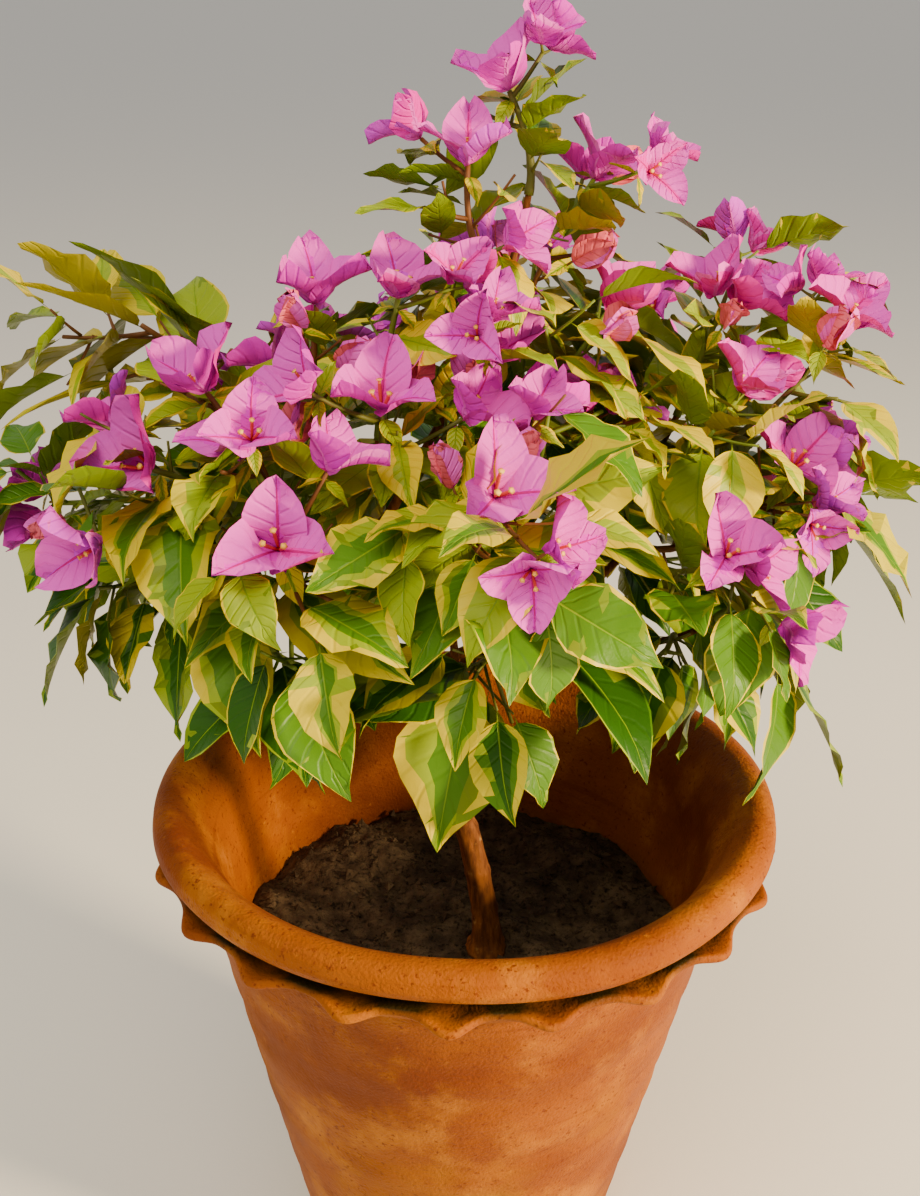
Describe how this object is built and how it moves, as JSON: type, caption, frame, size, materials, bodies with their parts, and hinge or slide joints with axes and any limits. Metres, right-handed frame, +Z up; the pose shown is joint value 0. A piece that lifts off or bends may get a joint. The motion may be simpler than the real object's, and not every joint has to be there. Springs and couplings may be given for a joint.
{
  "type": "potted bougainvillea bush",
  "caption": "Bushy bougainvillea with variegated leaves and pink bracts on one leaning trunk, growing from soil in a tapered terracotta pot with a rolled, crimped rim.",
  "frame": {"origin": "centre of the pot's flat underside", "axes": "+Z up, -Y towards the side of the bush that faces the viewer, +X to that viewer's right"},
  "size_m": [0.5415, 0.4099, 0.738],
  "materials": {
    "terracotta": "matte",
    "soil": "matte",
    "bark": "matte",
    "foliage": "satin",
    "blossom": "satin"
  },
  "bodies": {
    "root": {"pot": "terracotta", "soil": "soil", "trunk": "bark", "bough_leader": "bark", "bough_left": "bark", "bough_right": "bark", "bough_front": "bark", "bough_back": "bark", "bough_left_rear": "bark", "bough_centre": "bark", "bough_front_left": "bark", "bough_right_rear": "bark", "bough_right_low": "bark", "bough_back_right": "bark", "bough_back_left": "bark", "spray_top": "blossom", "spray_top_left": "blossom", "spray_top_right": "blossom", "spray_upper_left": "blossom", "spray_upper_right": "blossom", "spray_middle_right": "blossom", "spray_middle": "blossom", "spray_centre_left": "blossom", "spray_centre_top": "blossom", "spray_centre_front": "blossom", "spray_front": "blossom", "spray_front_upper": "blossom", "spray_front_low": "foliage", "spray_front_left": "blossom", "spray_front_left_low": "foliage", "spray_left": "blossom", "spray_left_upper": "blossom", "spray_left_front": "blossom", "spray_left_low": "foliage", "spray_left_high": "foliage", "spray_left_far": "blossom", "spray_left_rear": "blossom", "spray_right_inner": "blossom", "spray_right_upper": "blossom", "spray_right_front": "blossom", "spray_right": "blossom", "spray_right_high": "blossom", "spray_right_far": "blossom", "spray_right_rear": "blossom", "spray_right_low": "foliage", "spray_right_low_front": "foliage", "spray_back": "blossom", "spray_back_upper": "blossom", "spray_back_low": "blossom", "spray_back_right": "blossom", "spray_back_right_low": "foliage", "spray_back_left": "blossom", "spray_back_left_low": "blossom"}
  },
  "joints": []
}
